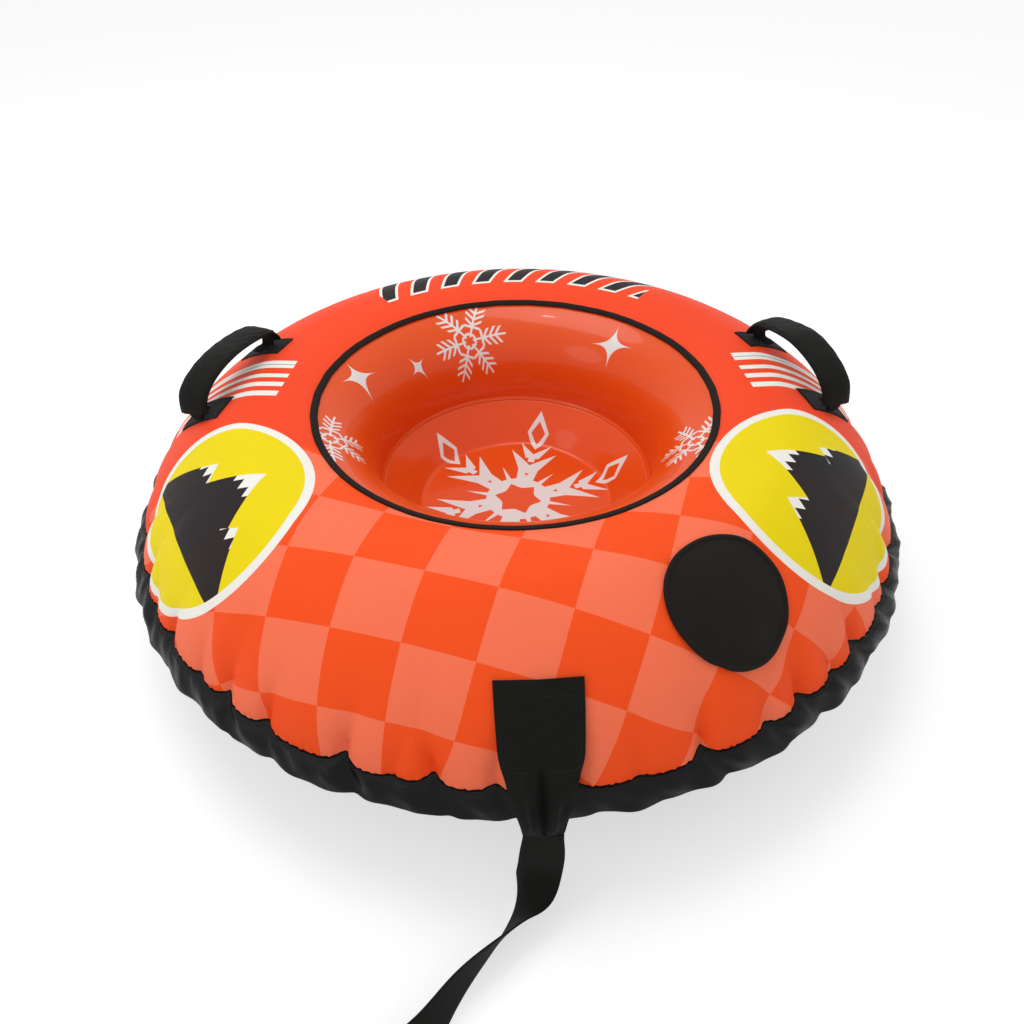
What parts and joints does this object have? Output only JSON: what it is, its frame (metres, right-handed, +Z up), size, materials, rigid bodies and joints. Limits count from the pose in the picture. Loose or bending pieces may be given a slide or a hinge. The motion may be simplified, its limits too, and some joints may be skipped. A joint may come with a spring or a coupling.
{
  "type": "snow tube",
  "caption": "Round inflated snow tube in a printed cloth cover gathered at the rim, with a sunken film seat, two fold-down handles, a valve under a flap and a tow strap.",
  "frame": {"origin": "on the ring's axis, on the ground under the slide base", "axes": "+Z up, -Y towards the side that the tow strap leaves, +X to the right seen from the tow side with -Y towards the viewer"},
  "size_m": [1.0153, 1.2308, 0.3324],
  "materials": {
    "seat_film": "soft film with a low sheen",
    "printed_cloth": "printed woven cloth",
    "slide_cloth": "slick coated cloth",
    "black_tape": "ribbed tape",
    "black_webbing": "woven webbing",
    "padded_cloth": "padded woven cloth",
    "hook_and_loop": "short pile",
    "valve_plastic": "moulded",
    "valve_rubber": "soft moulded"
  },
  "bodies": {
    "tube": {"chamber_bottom_panel": "seat_film", "chamber_top_panel": "seat_film", "cover_top": "printed_cloth", "flap_hinge_tape": "black_tape", "flap_loop_pad": "hook_and_loop", "left_front_patch": "black_tape", "left_front_tab": "black_webbing", "left_rear_patch": "black_tape", "left_rear_tab": "black_webbing", "opening_binding": "black_tape", "right_front_patch": "black_tape", "right_front_tab": "black_webbing", "right_rear_patch": "black_tape", "right_rear_tab": "black_webbing", "rim_band": "black_tape", "seat_floor": "seat_film", "slide_base": "slide_cloth", "tow_anchor": "black_webbing", "tow_hand_loop": "black_webbing", "tow_strap": "black_webbing", "valve_body": "valve_plastic", "valve_diaphragm": "valve_rubber"},
    "left_handle": {"left_handle_webbing": "black_webbing", "left_handle_sleeve": "padded_cloth"},
    "right_handle": {"right_handle_webbing": "black_webbing", "right_handle_sleeve": "padded_cloth"},
    "flap": {"valve_flap": "padded_cloth", "flap_hook_pad": "hook_and_loop"},
    "cap": {"valve_cap": "valve_plastic"}
  },
  "joints": [
    {"name": "left_handle_fold", "type": "hinge", "parent": "tube", "child": "left_handle", "pos_m": [-0.37203, 0.0552, 0.2793], "axis": [-0.3532, -0.9301, -0.1009], "range_deg": [-20, 70]},
    {"name": "right_handle_fold", "type": "hinge", "parent": "tube", "child": "right_handle", "pos_m": [0.37203, 0.0552, 0.2793], "axis": [-0.3532, 0.9301, 0.1009], "range_deg": [-20, 70]},
    {"name": "flap_lift", "type": "hinge", "parent": "tube", "child": "flap", "pos_m": [0.17731, -0.29392, 0.28612], "axis": [-0.8563, -0.5165, 0], "range_deg": [0, 150]},
    {"name": "cap_turn", "type": "hinge", "parent": "tube", "child": "cap", "pos_m": [0.20868, -0.34593, 0.25717], "axis": [0.2773, -0.4598, 0.8436], "range_deg": [0, 360]}
  ]
}
